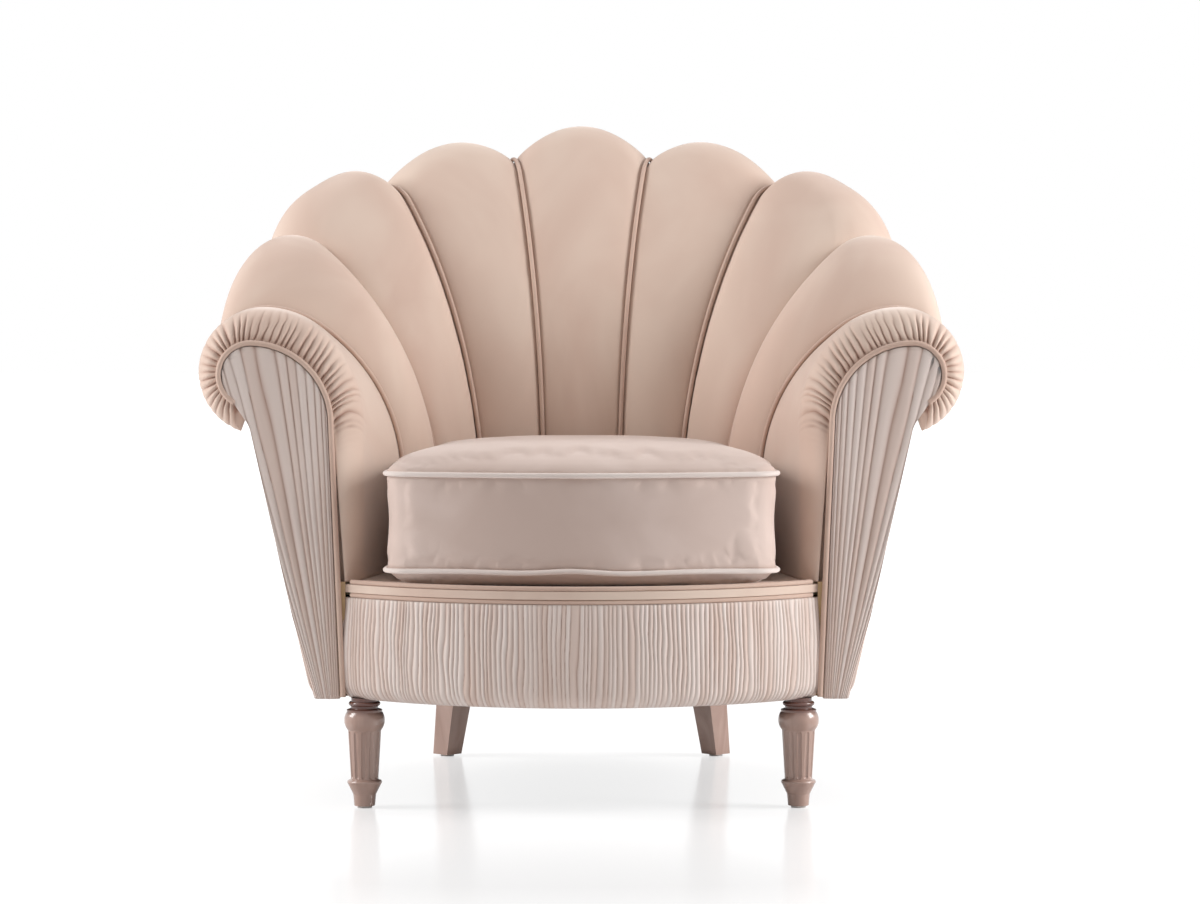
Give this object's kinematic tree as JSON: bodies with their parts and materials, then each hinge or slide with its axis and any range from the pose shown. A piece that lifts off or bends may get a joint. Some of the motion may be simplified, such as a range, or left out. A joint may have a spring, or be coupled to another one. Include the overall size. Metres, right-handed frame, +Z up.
{
  "type": "armchair",
  "caption": "Barrel armchair in blush velvet with a scalloped, channelled and piped back, rolled arms with pleated fronts, a loose seat cushion and turned, fluted front legs",
  "frame": {"origin": "on the floor, under the middle of the chair's bounding box", "axes": "+Z up, -Y to the front where the seat opens, +X to the sitter's left, which is the right of a front view; the chair is its own mirror image in X"},
  "size_m": [1.0702, 0.8748, 0.948],
  "materials": {
    "velvet": "short-pile blush velvet with soft nap shading",
    "piping": "self-fabric covered cord",
    "pleats": "the same velvet, gathered into fine upright pleats",
    "foam": "seat foam wrapped in wadding, hidden",
    "webbing": "woven jute strap, hidden",
    "dust_cloth": "thin black spun cloth",
    "plywood": "raw plywood, hidden",
    "frame_timber": "raw hardwood, hidden",
    "leg_wood": "glossy stained hardwood with a pinkish-brown tone",
    "steel": "plated steel",
    "nylon": "white nylon",
    "zip_tape": "woven zip tape with a nylon coil",
    "zip_metal": "plated die-cast metal"
  },
  "bodies": {
    "chair": {"arm_channel_left": "velvet", "arm_channel_right": "velvet", "side_channel_left": "velvet", "side_channel_right": "velvet", "wing_channel_left": "velvet", "wing_channel_right": "velvet", "back_channel_left": "velvet", "back_channel_right": "velvet", "centre_channel": "velvet", "arm_seam_piping_left": "piping", "arm_seam_piping_right": "piping", "wing_seam_piping_left": "piping", "wing_seam_piping_right": "piping", "back_seam_piping_left": "piping", "back_seam_piping_right": "piping", "centre_seam_piping_left": "piping", "centre_seam_piping_right": "piping", "arm_panel_left": "pleats", "arm_panel_piping_left": "piping", "arm_panel_right": "pleats", "arm_panel_piping_right": "piping", "arm_ribs": "plywood", "wing_ribs": "plywood", "back_ribs": "plywood", "centre_ribs": "plywood", "arm_facing_left": "plywood", "arm_facing_right": "plywood", "crest_rail": "frame_timber", "arm_rail_left": "frame_timber", "arm_rail_right": "frame_timber", "front_rail": "frame_timber", "back_rail": "frame_timber", "side_rail_left": "frame_timber", "side_rail_right": "frame_timber", "front_border": "pleats", "front_band": "velvet", "lower_front_welt": "piping", "upper_front_welt": "piping", "outside_arm_left": "pleats", "outside_arm_right": "pleats", "outside_back": "pleats", "deck_pad": "foam", "deck_cover": "velvet", "seat_webbing": "webbing", "front_leg_left": "leg_wood", "front_leg_right": "leg_wood", "rear_leg_left": "leg_wood", "rear_leg_right": "leg_wood", "hanger_bolts": "steel", "leg_glides": "nylon", "corner_blocks": "frame_timber", "dust_cover": "dust_cloth"},
    "seat_cushion": {"cushion_cover": "velvet", "cushion_core": "foam", "cushion_piping_bottom": "piping", "cushion_piping_top": "piping", "zip_chain": "zip_tape"},
    "zip_slider": {"zip_slider": "zip_metal"},
    "zip_pull": {"zip_pull": "zip_metal"}
  },
  "joints": [
    {"name": "cushion_lift", "type": "slide", "parent": "chair", "child": "seat_cushion", "axis": [0, 0, 1], "range_m": [0, 0.65]},
    {"name": "zip_slide", "type": "slide", "parent": "seat_cushion", "child": "zip_slider", "axis": [1, 0, 0], "range_m": [0, 0.146]},
    {"name": "pull_hinge", "type": "hinge", "parent": "zip_slider", "child": "zip_pull", "pos_m": [-0.073, 0.1151, 0.39225], "axis": [1, 0, 0], "range_deg": [0, 170]}
  ]
}
